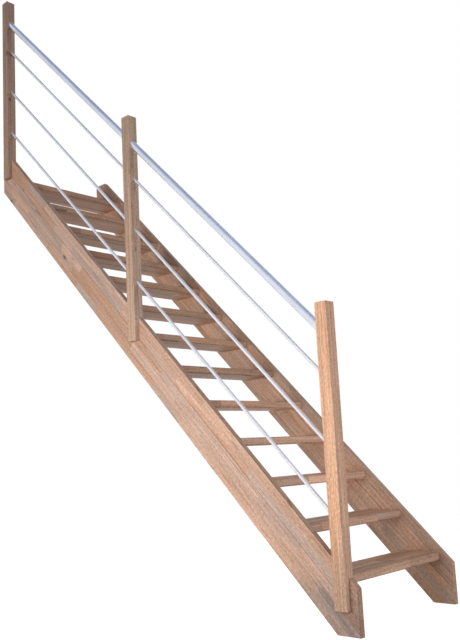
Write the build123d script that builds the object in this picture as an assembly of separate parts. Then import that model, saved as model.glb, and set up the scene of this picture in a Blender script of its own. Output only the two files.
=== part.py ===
from build123d import *
import math
import os

# A straight open-riser wooden stair with thirteen treads housed between two strings.
# The left side, seen by a climber, carries three lapped posts, a tube handrail and rods.
# Units are millimetres. +Z is up, the flight climbs along +Y and +X is a climber's right.
# The origin is the centre of the left string's seat on the lower floor.

# The climb
rise = 193.5
going = 192.0
tread_count = 13
first_rise = 234.5

# The strings, with board_width and nosing_margin measured square to the slope
clear_width = 736.0
string_thickness = 32.0
board_width = 214.0
foot_cut_height = 190.0
nosing_margin = 12.0
top_run = 273.0
top_corner_radius = 25.0

# Rounding of the boards' and posts' long edges
arris_radius = 3.0

# The treads and their housings in the strings
tread_depth = 203.0
tread_thickness = 38.0
nosing_radius = 8.0
housing_depth = 12.0
housing_clearance = 0.2

# The posts, with the drop and the height measured from the string's upper edge at the front face
post_size = 60.0
lap_thickness = 28.0
lap_drop = 127.0
post_height = 1134.5
post_ahead = 23.0
post_chamfer = 2.0

# The railing tubes, with heights measured plumb from the string's upper edge to the tube's axis
handrail_radius = 19.0
handrail_wall = 2.0
handrail_height = 968.0
handrail_seat = 28.0
rod_radius = 8.0
rod_wall = 1.5
rod_seat = 20.0
lowest_rod_height = 191.0
rod_spacing = 289.5
rods_per_bay = 3
bore_clearance = 0.25

# The slope, and the string's outline worked out from it
slope = rise / going
pitch = math.atan(slope)
seat_length = (board_width / math.cos(pitch) - foot_cut_height) / slope
front_y = -seat_length / 2
heel_y = seat_length / 2
upper_floor_z = first_rise + tread_count * rise


def upper_edge_z(y):
    """Height of the strings' upper edge at a place along the run."""
    return foot_cut_height + slope * (y - front_y)


def lower_edge_z(y):
    """Height of the strings' lower edge at a place along the run."""
    return slope * (y - heel_y)


# The first nosing is where the nosing line passes the first tread's height
nosing_drop = nosing_margin / math.cos(pitch)
first_nosing_y = front_y + (first_rise + nosing_drop - foot_cut_height) / slope
landing_nosing_y = first_nosing_y + tread_count * going
back_y = landing_nosing_y - going + top_run
level_cut_y = front_y + (upper_floor_z - foot_cut_height) / slope

# Places across the width
left_outer_x = -string_thickness / 2
left_inner_x = string_thickness / 2
right_inner_x = left_inner_x + clear_width
post_outer_x = left_outer_x - lap_thickness
post_centre_x = post_outer_x + post_size / 2

tread_length = clear_width + 2 * housing_depth
tread_start_x = left_inner_x - housing_depth


def tread_solid(index, start_x, length, grow):
    """A tread's section, grown on every side, drawn out along the width."""
    nosing_y = first_nosing_y + index * going
    top_z = first_rise + index * rise
    section = Rectangle(tread_depth + 2 * grow, tread_thickness + 2 * grow)
    section = fillet(section.vertices().group_by(Axis.X)[0], nosing_radius + grow)
    section = fillet(section.vertices().group_by(Axis.X)[-1], arris_radius + grow)
    middle = (start_x, nosing_y + tread_depth / 2, top_z - tread_thickness / 2)
    place = Plane(origin=middle, x_dir=(0, 1, 0), z_dir=(1, 0, 0))
    return extrude(place * section, amount=length)


def string_blank(start_x):
    """A string's board with its plumb, level and seat cuts, before the housings."""
    outline = Polygon(
        (front_y, 0),
        (heel_y, 0),
        (back_y, lower_edge_z(back_y)),
        (back_y, upper_floor_z),
        (level_cut_y, upper_floor_z),
        (front_y, foot_cut_height),
        align=None,
    )
    top_back_corner = outline.vertices().group_by(Axis.Y)[-1].sort_by(Axis.X)[-1]
    outline = fillet(top_back_corner, top_corner_radius)
    place = Plane(origin=(start_x, 0, 0), x_dir=(0, 1, 0), z_dir=(1, 0, 0))
    return extrude(place * outline, amount=string_thickness)


def string_solid(start_x):
    """A string with rounded edges and a housing cut for the end of each tread."""
    string = string_blank(start_x)
    string = fillet(string.faces().filter_by(Axis.X).edges(), arris_radius)
    for index in range(tread_count):
        string -= tread_solid(index, tread_start_x, tread_length, housing_clearance)
    return string


def bay_tube(lower_post_y, upper_post_y, height, seat, radius):
    """A round bar along the slope, let into the facing sides of two posts."""
    run = upper_post_y - lower_post_y - post_size + 2 * seat * math.cos(pitch)
    start_y = lower_post_y + post_size - seat * math.cos(pitch)
    start = (post_centre_x, start_y, upper_edge_z(start_y) + height)
    along = Plane(origin=start, x_dir=(1, 0, 0), z_dir=(0, math.cos(pitch), math.sin(pitch)))
    return extrude(along * Circle(radius), amount=run / math.cos(pitch))


def hollow_tube(lower_post_y, upper_post_y, height, seat, radius, wall):
    """The same bar as a tube with its real wall."""
    outside = bay_tube(lower_post_y, upper_post_y, height, seat, radius)
    return outside - bay_tube(lower_post_y, upper_post_y, height, seat, radius - wall)


def post_blank(front_face_y):
    """A square post that straddles the left string's upper edge and laps its outer face."""
    top_z = upper_edge_z(front_face_y) + post_height
    foot_z = upper_edge_z(front_face_y) - lap_drop
    low_corner = Location((post_outer_x, front_face_y, foot_z))
    post = low_corner * Box(post_size, post_size, top_z - foot_z, align=Align.MIN)
    post = fillet(post.edges().filter_by(Axis.Z), arris_radius)
    post = chamfer(post.faces().sort_by(Axis.Z)[-1].edges(), post_chamfer)
    notch_low = Location((left_outer_x, front_face_y, foot_z))
    inner = post_size - lap_thickness
    notch = notch_low * Box(inner, post_size, lap_drop, align=Align.MIN)
    return post - notch - string_blank(left_outer_x)


# The posts stand at both ends of the run and midway, in line with the nosings
first_post_y = first_nosing_y - post_ahead
last_post_y = landing_nosing_y - post_ahead
middle_post_y = (first_post_y + last_post_y) / 2

parts = {}
parts["left_string"] = string_solid(left_outer_x)
parts["right_string"] = string_solid(right_inner_x)
for index in range(tread_count):
    parts[f"tread_{index + 1:02d}"] = tread_solid(index, tread_start_x, tread_length, 0)

post_places = {
    "post_bottom": first_post_y,
    "post_middle": middle_post_y,
    "post_top": last_post_y,
}
bays = {
    "lower": (first_post_y, middle_post_y),
    "upper": (middle_post_y, last_post_y),
}
bores = []
for bay, (lower_post_y, upper_post_y) in bays.items():
    ends = (lower_post_y, upper_post_y, handrail_height, handrail_seat)
    parts[f"handrail_{bay}"] = hollow_tube(*ends, handrail_radius, handrail_wall)
    bores.append(bay_tube(*ends, handrail_radius + bore_clearance))
    for row in range(rods_per_bay):
        rod_height = lowest_rod_height + rod_spacing * row
        ends = (lower_post_y, upper_post_y, rod_height, rod_seat)
        parts[f"rod_{bay}_{row + 1}"] = hollow_tube(*ends, rod_radius, rod_wall)
        bores.append(bay_tube(*ends, rod_radius + bore_clearance))

for name, front_face_y in post_places.items():
    parts[name] = post_blank(front_face_y)
    for bore in bores:
        parts[name] -= bore

os.makedirs("parts", exist_ok=True)
for name, shape in parts.items():
    export_step(shape, f"parts/{name}.step")
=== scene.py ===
import bpy
import math
from mathutils import Matrix, Vector


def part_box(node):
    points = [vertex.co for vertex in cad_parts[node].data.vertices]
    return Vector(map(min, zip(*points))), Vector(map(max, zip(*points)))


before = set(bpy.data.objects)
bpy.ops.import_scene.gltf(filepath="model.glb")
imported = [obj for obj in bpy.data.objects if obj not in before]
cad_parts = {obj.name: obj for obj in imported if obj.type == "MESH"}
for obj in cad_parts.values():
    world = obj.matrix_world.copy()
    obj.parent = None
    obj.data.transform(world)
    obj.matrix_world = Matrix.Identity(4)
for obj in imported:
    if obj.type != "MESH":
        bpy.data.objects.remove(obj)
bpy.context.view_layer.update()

# The strings are two boards cut to the slope, glued up on edge from pinkish hardwood staves.
# Short lengths of stave are finger-jointed end to end, so the tone changes along each board.
# The boards are planed flush, housed for the treads and finished with a thin matt oil.
first_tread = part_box("tread_01")
second_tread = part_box("tread_02")
rise = second_tread[1].z - first_tread[1].z
going = second_tread[1].y - first_tread[1].y
pitch = math.atan2(rise, going)
up_the_slope = Vector((0, math.cos(pitch), math.sin(pitch)))
square_to_slope = Vector((0, -math.sin(pitch), math.cos(pitch)))
across_the_stair = Vector((1, 0, 0))
upright = Vector((0, 0, 1))

string_staves = 5
string_stave_length = 0.42
finger_pitch = 0.0042
finger_length = 0.011

# A hair's breadth round each board, so that its faces lie inside its outer staves
skin = 0.0002

# How squarely a face looks along an axis where it begins to count, and where it fully does
square_on = (0.75, 0.95)


def extent(node, direction):
    """The lowest and highest places of a piece along a direction."""
    places = [vertex.co.dot(direction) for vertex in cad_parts[node].data.vertices]
    return min(places), max(places)


def dress(node, finish):
    """Gives a piece of the stair its finish."""
    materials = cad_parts[node].data.materials
    materials.clear()
    materials.append(finish)


def lifted(tones, factors):
    """The same row of tones, with red, green and blue each lifted by a factor."""
    return [(step, tuple(part * factor for part, factor in zip(tone, factors))) for step, tone in tones]


class Amount:
    """A number, place or colour that a finish works out at every point of a surface."""

    def __init__(self, finish, socket):
        self.finish = finish
        self.socket = socket

    def __add__(self, other):
        return self.finish.reckon("ADD", self, other)

    def __sub__(self, other):
        return self.finish.reckon("SUBTRACT", self, other)

    def __rsub__(self, other):
        return self.finish.reckon("SUBTRACT", other, self)

    def __mul__(self, other):
        return self.finish.reckon("MULTIPLY", self, other)

    def __truediv__(self, other):
        return self.finish.reckon("DIVIDE", self, other)


class Finish:
    """A finish made step by step on a material or a world. Each step adds one node."""

    def __init__(self, owner):
        self.owner = owner
        owner.use_nodes = True
        self.tree = owner.node_tree
        self.tree.nodes.clear()

    def node(self, kind, inputs, **settings):
        """Adds a node, whose inputs are amounts or plain values."""
        node = self.tree.nodes.new("ShaderNode" + kind)
        for setting, value in settings.items():
            setattr(node, setting, value)
        for socket, value in inputs.items():
            if isinstance(value, Amount):
                self.tree.links.new(value.socket, node.inputs[socket])
            else:
                node.inputs[socket].default_value = value
        return node

    def results(self, kind, inputs, names, **settings):
        """Adds a node and hands back some of its results, by their names or numbers."""
        node = self.node(kind, inputs, **settings)
        return [Amount(self, node.outputs[name]) for name in names]

    def result(self, kind, inputs, name=0, **settings):
        """Adds a node and hands back one result, which is the first unless it is named."""
        return self.results(kind, inputs, [name], **settings)[0]

    def reckon(self, operation, *numbers):
        """One step of arithmetic."""
        return self.result("Math", dict(enumerate(numbers)), operation=operation)

    def greatest(self, first, *others):
        """The greatest of some numbers."""
        for other in others:
            first = self.reckon("MAXIMUM", first, other)
        return first

    def lengths(self, place, axes):
        """How far a place lies along each of some axes."""
        return [
            self.result("VectorMath", {0: place, 1: axis}, "Value", operation="DOT_PRODUCT")
            for axis in axes
        ]

    def place(self, x, y, z):
        """Three numbers as one place."""
        return self.result("CombineXYZ", {0: x, 1: y, 2: z})

    def chances(self, x, y, z):
        """Three random numbers that stay the same wherever the three given ones do."""
        inputs = {"Vector": self.place(x, y, z)}
        shuffled = self.result("TexWhiteNoise", inputs, "Color", noise_dimensions="3D")
        return self.results("SeparateColor", {0: shuffled}, (0, 1, 2))

    def noise(self, place, detail=2.0, roughness=0.5):
        """A smooth random figure about 0.5, one unit across."""
        inputs = {"Vector": place, "Scale": 1.0, "Detail": detail, "Roughness": roughness}
        return self.result("TexNoise", inputs, "Fac", noise_dimensions="3D")

    def figure(self, lengths, repeats, shift, detail=2.0, roughness=0.5):
        """A smooth random figure that repeats so many times in a metre of each length."""
        along, across, through = [length * often for length, often in zip(lengths, repeats)]
        return self.noise(self.place(along + shift, across, through), detail, roughness)

    def ramp(self, value, low, high):
        """Rises smoothly from 0 at low to 1 at high."""
        inputs = {"Value": value, "From Min": low, "From Max": high}
        return self.result("MapRange", inputs, interpolation_type="SMOOTHSTEP")

    def tones(self, value, stops):
        """A colour picked from a row of tones."""
        node = self.node("ValToRGB", {"Fac": value})
        bands = node.color_ramp.elements
        while len(bands) < len(stops):
            bands.new(1.0)
        for band, (step, tone) in zip(bands, stops):
            band.position = step
            band.color = (*tone, 1.0)
        return Amount(self, node.outputs["Color"])

    def mix(self, share, first, second, blend="MIX"):
        """Two colours mixed by a share."""
        pair = [(*tone, 1.0) if isinstance(tone, tuple) else tone for tone in (first, second)]
        inputs = {0: share, 6: pair[0], 7: pair[1]}
        return self.result("Mix", inputs, 2, data_type="RGBA", blend_type=blend)

    def shade(self, colour, share, tint):
        """A colour multiplied by a tint, as far as the share says."""
        return self.mix(share, colour, tint, "MULTIPLY")

    def close(self, shader, output="OutputMaterial"):
        """Puts the shader in place and hands back the finished material or world."""
        self.node(output, {"Surface": shader})
        return self.owner


class GluedWood(Finish):
    """Hardwood glued up from finger-jointed staves, worked out in the solid.

    Every stave is cut from its own place in a trunk, so its faces, edges and ends agree.
    The axes run along the grain, across the staves and through the board.
    """

    def __init__(self, node, axes, staves, stave_length, seed):
        super().__init__(bpy.data.materials.new(node + "_wood"))
        self.seed = seed
        self.stave_length = stave_length
        lower_edge, upper_edge = extent(node, axes[1])
        front_face = extent(node, axes[2])[0]
        self.stave_width = (upper_edge - lower_edge + 2 * skin) / staves
        self.point, normal = self.results("TexCoord", {}, ("Object", "Normal"))
        self.along, side, depth = self.lengths(self.point, axes)
        self.side = side - (lower_edge - skin)
        self.depth = depth - (front_face - skin)
        self.facing = [self.reckon("ABSOLUTE", share) for share in self.lengths(normal, axes)]
        self.lay_staves()
        self.grow_rings()
        self.draw_grain()
        self.set_knots()
        self.find_joints_and_edges()

    def lay_staves(self):
        """Finds each point's row of staves, and its piece between two finger joints.

        The pieces' lengths swing about the stave length along a row, and no two rows agree.
        """
        uneven_lengths = 0.3
        unevenness_pace = 2.4
        unevenness_spread = 40.0
        start_spread = 7.0

        row_place = self.side / self.stave_width
        self.row = self.reckon("FLOOR", row_place)
        self.within_row = row_place - self.row
        chances = self.chances(self.row, 0.0, self.seed)
        start_chance, unevenness_chance, self.line_chance = chances
        fingers = self.reckon("PINGPONG", self.side, finger_pitch / 2)
        reach = fingers * (2 * finger_length / finger_pitch)
        even_place = (self.along + reach) / self.stave_length + start_chance * start_spread
        turn = even_place * unevenness_pace + unevenness_chance * unevenness_spread
        swing = self.reckon("SINE", turn)
        length_place = even_place + swing * uneven_lengths
        piece = self.reckon("FLOOR", length_place)
        self.within_piece = length_place - piece
        chances = self.chances(self.row, piece, self.seed)
        self.tone_chance, self.aside_chance, self.behind_chance = chances
        chances = self.chances(piece, self.seed, self.row)
        self.streak_chance, self.bright_chance, self.sap_chance = chances

    def grow_rings(self):
        """Draws growth rings about a pith that lies outside the stave, wanders and leans."""
        pith_aside = -0.075
        pith_aside_spread = 0.11
        pith_behind = 0.012
        pith_behind_spread = 0.10
        pith_wander = 0.024
        wander_repeats = 2.2
        wander_spread = 90.0
        pith_lean = 0.045
        ring_repeats = 130.0
        ring_change_along = 0.7
        ring_spread = 50.0

        own_wander = self.streak_chance * wander_spread
        wander = self.noise(self.place(self.along * wander_repeats, own_wander, 0.0))
        aside = self.within_row * self.stave_width + self.aside_chance * pith_aside_spread
        aside = aside + wander * pith_wander + (pith_aside - pith_wander / 2)
        behind = self.depth + self.behind_chance * pith_behind_spread + pith_behind
        lean = (self.bright_chance - 0.5) * self.along * pith_lean
        radius = self.reckon("SQRT", aside * aside + behind * behind) + lean
        own_rings = self.sap_chance * ring_spread
        ring_place = self.place(radius * ring_repeats, own_rings, self.along * ring_change_along)
        self.rings = self.noise(ring_place, 3.0, 0.62)

    def draw_grain(self):
        """Draws fibres, pores, bands, flecks, dark streaks and fine cracks along the grain.

        Each figure has its repeats in a metre along the grain, across the stave and through it.
        A mark shows where its figure passes between two values, and some staves have none.
        """
        fibre_repeats = (5.0, 190.0, 190.0)
        band_repeats = (1.3, 48.0, 48.0)
        fleck_repeats = (70.0, 190.0, 190.0)
        pore_repeats = (38.0, 1000.0, 1000.0)
        pore_shows = (0.62, 0.75)
        streak_repeats = (4.5, 120.0, 60.0)
        streak_shows = (0.65, 0.74)
        streaky_staves = (0.45, 0.55)
        crack_repeats = (10.0, 300.0, 100.0)
        crack_shows = (0.72, 0.78)
        cracked_staves = (0.42, 0.52)
        grain_spread = 20.0

        lengths = (self.along, self.side, self.depth)
        shift = self.tone_chance * grain_spread
        self.fibres = self.figure(lengths, fibre_repeats, shift, 3.0, 0.6)
        self.bands = self.figure(lengths, band_repeats, shift)
        self.flecks = self.figure(lengths, fleck_repeats, shift, 2.0, 0.6)
        self.pores = self.ramp(self.figure(lengths, pore_repeats, shift, 1.0), *pore_shows)
        streaks = self.ramp(self.figure(lengths, streak_repeats, shift * 1.7, 1.5), *streak_shows)
        streaks = streaks * self.ramp(self.streak_chance, *streaky_staves)
        cracks = self.ramp(self.figure(lengths, crack_repeats, shift * 2.3, 0.0), *crack_shows)
        cracks = cracks * self.ramp(self.sap_chance, *cracked_staves)
        self.streaks = self.greatest(streaks, cracks)

    def set_knots(self):
        """Sets a few small knots, each cut off where its stave was ripped."""
        knot_repeats = (4.0, 9.0)
        knot_row_spread = 7.0
        knot_fades = (0.03, 0.12)
        knotty_cells = (0.86, 0.88)

        along = self.along * knot_repeats[0]
        across = self.side * knot_repeats[1] + self.row * knot_row_spread
        inputs = {"Vector": self.place(along, across, 0.0), "Scale": 1.0}
        names = ("Distance", "Color")
        distance, cell = self.results("TexVoronoi", inputs, names, voronoi_dimensions="2D")
        cell_chance = self.result("SeparateColor", {0: cell})
        near_knot = 1.0 - self.ramp(distance, *knot_fades)
        self.knots = near_knot * self.ramp(cell_chance, *knotty_cells)

    def find_joints_and_edges(self):
        """Finds the glue lines, the finger joints, the end grain and the rounded arrises.

        A glue line and a joint fade out between two distances, and show where cut across.
        """
        glue_line = (0.0005, 0.0027)
        joint_line = (0.0003, 0.0012)
        edge_on = (0.8, 0.5)
        off_the_arris = (0.90, 0.995)

        grain_edge_on, staves_edge_on = [self.ramp(share, *edge_on) for share in self.facing[:2]]
        from_glue = self.reckon("PINGPONG", self.within_row, 0.5) * self.stave_width
        self.glue = (1.0 - self.ramp(from_glue, *glue_line)) * staves_edge_on
        from_joint = self.reckon("PINGPONG", self.within_piece, 0.5) * self.stave_length
        self.joints = (1.0 - self.ramp(from_joint, *joint_line)) * grain_edge_on
        self.end = self.ramp(self.facing[0], *square_on)
        self.arris = 1.0 - self.ramp(self.greatest(*self.facing), *off_the_arris)

    def colour(self, tones, variety, paler):
        """The stave's own tone with its figure and marks, and painted light that makes it paler by a
        share a metre upward.
        """
        stave_contrast = 0.20
        fleck_contrast = 1.2
        even_tone_at = 1.7
        sapwood = (0.86, 0.68, 0.56)
        sapwood_edge = (0.62, 0.98)
        sapwood_staves = (0.45, 0.75)
        sapwood_share = 0.45
        latewood_shade = (0.81, 0.76, 0.73)
        latewood_shows = (0.42, 0.72)
        fibre_shade = (0.81, 0.76, 0.73)
        fibre_shows = (0.38, 0.72)
        band_shows = (0.45, 0.80)
        pore_shade = (0.62, 0.52, 0.46)
        pore_share = 0.7
        streak_brown = (0.22, 0.125, 0.085)
        streak_share = 0.8
        knot_brown = (0.13, 0.065, 0.035)
        knot_share = 0.85
        glue_line_shade = (0.66, 0.57, 0.50)
        light_line_shade = (1.24, 1.20, 1.16)
        light_lines = (0.42, 0.50)
        joint_share = 0.7
        end_grain_shade = (0.70, 0.62, 0.56)

        colour = self.tones((self.tone_chance - 0.5) * variety + 0.5, tones)
        bright = (self.bright_chance - 0.5) * (stave_contrast * variety) + 1.0
        bright = bright + (self.flecks - 0.5) * fleck_contrast
        # Painted light: paler by the given share for each metre along the grain
        bright = bright + (self.along - even_tone_at) * paler
        colour = self.shade(colour, 1.0, self.place(bright, bright, bright))
        sap = self.ramp(self.within_row, *sapwood_edge) * self.ramp(self.sap_chance, *sapwood_staves)
        colour = self.mix(sap * sapwood_share, colour, sapwood)
        colour = self.shade(colour, self.ramp(self.rings, *latewood_shows), latewood_shade)
        colour = self.shade(colour, self.ramp(self.bands, *band_shows), fibre_shade)
        colour = self.shade(colour, self.ramp(self.fibres, *fibre_shows), fibre_shade)
        colour = self.shade(colour, self.pores * pore_share, pore_shade)
        colour = self.mix(self.streaks * streak_share, colour, streak_brown)
        colour = self.mix(self.knots * knot_share, colour, knot_brown)
        colour = self.shade(colour, self.joints * joint_share, glue_line_shade)
        light_line = self.ramp(self.line_chance, *light_lines)
        glue_shade = self.mix(light_line, glue_line_shade, light_line_shade)
        colour = self.shade(colour, self.glue, glue_shade)
        return self.shade(colour, self.end, end_grain_shade)

    def with_painted_light_and_shade(self, colour, painted_arris_tint, painted_edge_shade, painted_foot_shade_height):
        """The colour with painted shade on the board's edges and near the floor, and a painted tint
        along its arrises: darker as shade, lighter as a highlight.
        """
        # Colour, full depth and raggedness of the painted shade near the floor
        painted_foot_shade = (0.72, 0.79, 0.86)
        painted_foot_shade_solid = 0.45
        painted_foot_shade_raggedness = 0.2

        # Painted shade on the board's narrow edges, where little light falls on them.
        if painted_edge_shade:
            colour = self.shade(colour, self.ramp(self.facing[1], *square_on), painted_edge_shade)
        # A painted line along the rounded arrises: shade where the tint is dark, a highlight where it
        # is light.
        colour = self.shade(colour, self.arris, painted_arris_tint)
        # Painted shade near the floor: the faces across the stair turn darker and greyer below the
        # given height, with a ragged top.
        if painted_foot_shade_height:
            height = self.lengths(self.point, [upright])[0]
            ragged = height + painted_foot_shade_raggedness / 2 - self.bands * painted_foot_shade_raggedness
            low_down = self.ramp(ragged, painted_foot_shade_height, painted_foot_shade_solid * painted_foot_shade_height)
            colour = self.shade(colour, low_down * self.facing[2], painted_foot_shade)
        return colour

    def oiled(self, colour):
        """Matt oil, rougher on end grain, over a faint relief of grain and joints."""
        oil_roughness = 0.42
        fibre_roughness = 0.22
        end_roughness = 0.14
        oil_shine = 0.28
        relief_height = 0.0005
        relief_strength = 0.5

        roughness = self.fibres * fibre_roughness + self.end * end_roughness + oil_roughness
        relief = self.fibres * 0.5 + self.rings * 0.6 - self.pores * 0.5 - self.joints * 0.35
        inputs = {"Strength": relief_strength, "Distance": relief_height, "Height": relief}
        bump = self.result("Bump", inputs)
        return self.close(self.result("BsdfPrincipled", {
            "Base Color": colour,
            "Roughness": roughness,
            "Specular IOR Level": oil_shine,
            "Normal": bump,
        }))


string_axes = (up_the_slope, square_to_slope, across_the_stair)
string_seeds = {"left_string": 36.0, "right_string": 8.0}
string_variety = {"left_string": 1.0, "right_string": 0.7}
string_lift = {"left_string": (1.01, 1.045, 1.09), "right_string": (1.0, 0.99, 0.96)}
# How high the painted shade at each string's foot reaches, in metres; the right string has none
string_painted_foot_shade = {"left_string": 0.27, "right_string": 0.0}
# Painted light: the strings turn paler by this share for each metre up the slope, lighting their upper
# lengths more
string_painted_light_upward = 0.07
# Painted shade on the strings' narrow upper and lower edges
string_painted_edge_shade = (0.80, 0.73, 0.69)
# Painted shade: a darker line along the rounded arrises of the strings and treads
painted_arris_shade = (0.84, 0.78, 0.74)
string_tones = [
    (0.00, (0.624, 0.488, 0.433)),
    (0.20, (0.695, 0.534, 0.467)),
    (0.45, (0.799, 0.579, 0.484)),
    (0.70, (0.830, 0.570, 0.454)),
    (0.88, (0.752, 0.497, 0.377)),
    (1.00, (0.675, 0.419, 0.305)),
]
for node, seed in string_seeds.items():
    wood = GluedWood(node, string_axes, string_staves, string_stave_length, seed)
    tones = lifted(string_tones, string_lift[node])
    colour = wood.colour(tones, string_variety[node], string_painted_light_upward)
    colour = wood.with_painted_light_and_shade(colour, painted_arris_shade, string_painted_edge_shade, string_painted_foot_shade[node])
    dress(node, wood.oiled(colour))

# The treads are thirteen planks of the same glued hardwood, with the staves along their length.
# Their front edges are rounded over, and their ends sit glued in the strings' housings.
along_the_run = Vector((0, 1, 0))
tread_axes = (across_the_stair, along_the_run, upright)
tread_staves = 5
tread_stave_length = 0.36
tread_tones = [
    (0.00, (0.501, 0.345, 0.271)),
    (0.30, (0.622, 0.407, 0.307)),
    (0.60, (0.709, 0.455, 0.333)),
    (0.85, (0.786, 0.518, 0.382)),
    (1.00, (0.589, 0.355, 0.243)),
]

# Each plank's own seed, and how much paler than those tones the plank is. This is partly each plank's
# own tone and partly painted light and shade, which darkens the planks higher up the flight.
planks = {
    "tread_01": (120.0, 1.15),
    "tread_02": (321.0, 1.19),
    "tread_03": (122.0, 1.47),
    "tread_04": (623.0, 1.50),
    "tread_05": (24.0, 1.12),
    "tread_06": (425.0, 0.86),
    "tread_07": (426.0, 1.04),
    "tread_08": (27.0, 0.96),
    "tread_09": (528.0, 1.06),
    "tread_10": (29.0, 0.91),
    "tread_11": (330.0, 0.96),
    "tread_12": (31.0, 1.10),
    "tread_13": (532.0, 0.95),
}
for node, (seed, lift) in planks.items():
    wood = GluedWood(node, tread_axes, tread_staves, tread_stave_length, seed)
    colour = wood.colour(lifted(tread_tones, (lift, lift, lift)), variety=1.0, paler=0.0)
    colour = wood.with_painted_light_and_shade(colour, painted_arris_shade, painted_edge_shade=None, painted_foot_shade_height=0.0)
    dress(node, wood.oiled(colour))

# The posts are three square newels, each glued up from three long staves.
# They are notched over the left string's upper edge and bolted through the lap from inside.
post_axes = (upright, along_the_run, across_the_stair)
post_staves = 3
post_stave_length = 0.95
post_variety = 0.6
# Painted highlight: a lighter line along the posts' rounded arrises
post_painted_arris_highlight = (1.10, 1.08, 1.06)
# How high the painted shade at each post's foot reaches, in metres
post_painted_foot_shade = 0.46
post_seeds = {"post_bottom": 50.0, "post_middle": 451.0, "post_top": 52.0}
# The posts' tones go from light at the bottom post to dark at the top one: painted light, falling off
# with height, over each post's own tone.
post_tones = {
    "post_bottom": [
        (0.00, (0.824, 0.533, 0.387)),
        (0.35, (0.941, 0.615, 0.454)),
        (0.70, (0.985, 0.628, 0.442)),
        (1.00, (0.867, 0.533, 0.363)),
    ],
    "post_middle": [
        (0.00, (0.594, 0.461, 0.393)),
        (0.40, (0.662, 0.502, 0.414)),
        (0.75, (0.721, 0.523, 0.414)),
        (1.00, (0.633, 0.440, 0.338)),
    ],
    "post_top": [
        (0.00, (0.500, 0.363, 0.306)),
        (0.50, (0.601, 0.427, 0.347)),
        (1.00, (0.549, 0.381, 0.292)),
    ],
}
for node, seed in post_seeds.items():
    wood = GluedWood(node, post_axes, post_staves, post_stave_length, seed)
    colour = wood.colour(post_tones[node], post_variety, paler=0.0)
    colour = wood.with_painted_light_and_shade(colour, post_painted_arris_highlight, painted_edge_shade=None, painted_foot_shade_height=post_painted_foot_shade)
    dress(node, wood.oiled(colour))

# The handrail is two straight lengths of round aluminium tube, let into the posts' facing sides.
# It is brushed along its length and satin anodised.
# The blue in this colour is painted reflection of a bluish surround; the rest is the aluminium's own
# grey.
handrail_blue = (0.78, 0.85, 1.0)
handrail_seed = 2.0


def satin_metal(name, colour, seed):
    """Anodised tube, brushed along the slope and faintly clouded."""
    brush_repeats = (6.0, 900.0, 900.0)
    brush_shows = (0.4, 0.8)
    brush_share = 0.25
    brush_depth = 0.00001
    brush_strength = 0.05
    brush_roughness = 0.06
    cloud_repeats = (5.0, 22.0, 22.0)
    cloud_shows = (0.3, 0.75)
    cloud_roughness = 0.10
    satin_roughness = 0.18
    dull_share = 0.86
    metal_share = 0.55

    metal = Finish(bpy.data.materials.new(name))
    lengths = metal.lengths(metal.result("TexCoord", {}, "Object"), string_axes)
    brushing = metal.figure(lengths, brush_repeats, seed)
    clouds = metal.figure(lengths, cloud_repeats, seed, 3.0)
    duller = tuple(dull_share * part for part in colour)
    tint = metal.mix(metal.ramp(clouds, *cloud_shows), colour, duller)
    tint = metal.mix(metal.ramp(brushing, *brush_shows) * brush_share, tint, duller)
    roughness = clouds * cloud_roughness + brushing * brush_roughness + satin_roughness
    inputs = {"Strength": brush_strength, "Distance": brush_depth, "Height": brushing}
    bump = metal.result("Bump", inputs)
    return metal.close(metal.result("BsdfPrincipled", {
        "Base Color": tint,
        "Metallic": metal_share,
        "Roughness": roughness,
        "Normal": bump,
    }))


handrail_metal = satin_metal("handrail_metal", handrail_blue, handrail_seed)
for bay in ("lower", "upper"):
    dress("handrail_" + bay, handrail_metal)

# The rods are three thin tubes in each bay, parallel to the handrail and let into the posts.
# They are of the same satin aluminium, a shade paler.
# The rods' faint blue is painted reflection in the same way.
rod_silver = (0.90, 0.92, 1.0)
rod_seed = 9.0
rod_metal = satin_metal("rod_metal", rod_silver, rod_seed)
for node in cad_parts:
    if node.startswith("rod_"):
        dress(node, rod_metal)

# The studio is a wide white floor that fades into a white surround.
# Metal shows that white too, with a bluer and darker ceiling overhead.
floor_radius = 30.0
floor_sides = 96
floor_centre = Vector((0.37, 1.25, 0.0))
fade_from = 1.7
fade_to = 3.6
matt_white = (0.86, 0.86, 0.86, 1.0)
bounced_warmth = (0.30, 0.265, 0.235, 1.0)
pure_white = (1.0, 1.0, 1.0, 1.0)
floor_lift = 0.81

rim = []
for side in range(floor_sides):
    turn = 2 * math.pi * side / floor_sides
    rim.append(floor_centre + floor_radius * Vector((math.cos(turn), math.sin(turn), 0.0)))
floor_mesh = bpy.data.meshes.new("studio_floor")
floor_mesh.from_pydata(rim, [], [tuple(range(floor_sides))])
floor = bpy.data.objects.new("studio_floor", floor_mesh)
bpy.context.scene.collection.objects.link(floor)


def shown(finish):
    """1 where a surface is seen itself, or in metal or glass, and 0 where it only gives light."""
    names = ("Is Camera Ray", "Is Glossy Ray", "Is Transmission Ray")
    return finish.greatest(*finish.results("LightPath", {}, names))


paint = Finish(bpy.data.materials.new("studio_white"))
place = paint.result("TexCoord", {}, "Object")
inputs = {0: place, 1: floor_centre}
away = paint.result("VectorMath", inputs, "Value", operation="DISTANCE")
matt = paint.result("BsdfDiffuse", {"Color": matt_white})
lift = paint.result("Emission", {"Color": pure_white, "Strength": floor_lift})
near = paint.result("AddShader", {0: matt, 1: lift})
far = paint.result("Emission", {"Color": pure_white, "Strength": 1.0})
fade = paint.ramp(away, fade_from, fade_to)
seen_floor = paint.result("MixShader", {0: fade, 1: near, 2: far})
bounce = paint.result("BsdfDiffuse", {"Color": bounced_warmth})
surface = paint.result("MixShader", {0: shown(paint), 1: bounce, 2: seen_floor})
floor_mesh.materials.append(paint.close(surface))

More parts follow.
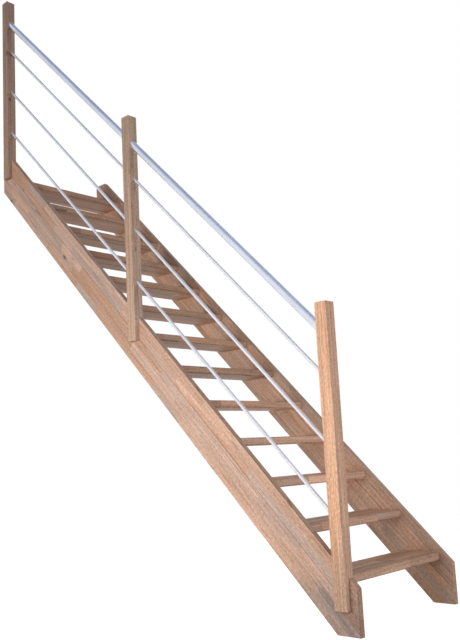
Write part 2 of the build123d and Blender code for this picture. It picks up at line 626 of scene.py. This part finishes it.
soft_warmth = (1.0, 0.88, 0.78, 1.0)
soft_strength = 0.07
ceiling_from = 0.70
ceiling_to = 0.93
ceiling_blue = (0.34, 0.42, 0.62)

sky = Finish(bpy.data.worlds.new("studio"))
direction = sky.result("TexCoord", {}, "Generated")
overhead = sky.ramp(sky.result("SeparateXYZ", {0: direction}, "Z"), ceiling_from, ceiling_to)
surround = sky.mix(overhead, pure_white[:3], ceiling_blue)
backdrop = sky.result("Background", {"Color": surround, "Strength": 1.0})
soft = sky.result("Background", {"Color": soft_warmth, "Strength": soft_strength})
either = sky.result("MixShader", {0: shown(sky), 1: soft, 2: backdrop})
bpy.context.scene.world = sky.close(either, "OutputWorld")


def soft_lamp(name, place, target, size, power, colour):
    """A square soft box turned to face its target."""
    light = bpy.data.lights.new(name, "AREA")
    light.shape = "SQUARE"
    light.size = size
    light.energy = power
    light.color = colour
    lamp = bpy.data.objects.new(name, light)
    lamp.location = place
    facing = Vector(target) - Vector(place)
    lamp.rotation_euler = facing.to_track_quat("-Z", "Y").to_euler()
    lamp.visible_glossy = False
    bpy.context.scene.collection.objects.link(lamp)


soft_lamp("near_lamp", (-2.0, 0.2, 1.0), (0.0, 0.5, 1.0), 1.0, 25.3, (1.0, 0.94, 0.86))
soft_lamp("low_lamp", (-4.5, 2.5, 0.35), (0.5, 1.8, 1.2), 1.5, 122.0, (1.0, 0.93, 0.84))
soft_lamp("front_lamp", (0.8, -3.6, 0.8), (0.4, 0.8, 1.2), 2.2, 75.0, (0.96, 1.0, 1.0))
soft_lamp("top_lamp", (0.8, -0.5, 6.5), (0.4, 0.8, 0.0), 2.5, 37.0, (1.0, 0.97, 0.92))
soft_lamp("back_lamp", (4.5, 6.0, 4.8), (0.4, 1.4, 1.8), 3.0, 200.0, (1.0, 0.97, 0.94))

# The camera stands low and to the left of the flight's foot, and looks a little up the stairs.
photo_height = 640.0
focal_pixels = 782.35
film_height = 36.0
picture_shift = (0.00424, 0.02268)
farthest_seen = 200.0
camera_place = Vector((-2.6751, -1.9406, 0.7553))
yaw = math.radians(46.485)
tip = math.radians(8.492)
roll = math.radians(-2.905)
forward = Vector((math.sin(yaw) * math.cos(tip), math.cos(yaw) * math.cos(tip), math.sin(tip)))
level_right = Vector((math.cos(yaw), -math.sin(yaw), 0.0))
level_up = level_right.cross(forward)
right = level_right * math.cos(roll) + level_up * math.sin(roll)
up = -level_right * math.sin(roll) + level_up * math.cos(roll)

lens = bpy.data.cameras.new("camera")
lens.sensor_width = film_height
lens.lens = film_height * focal_pixels / photo_height
lens.shift_x, lens.shift_y = picture_shift
lens.clip_end = farthest_seen
camera = bpy.data.objects.new("camera", lens)
camera_turn = Matrix((right, up, -forward)).transposed().to_4x4()
camera.matrix_world = Matrix.Translation(camera_place) @ camera_turn
bpy.context.scene.collection.objects.link(camera)
bpy.context.scene.camera = camera
bpy.context.scene.view_settings.view_transform = "Standard"
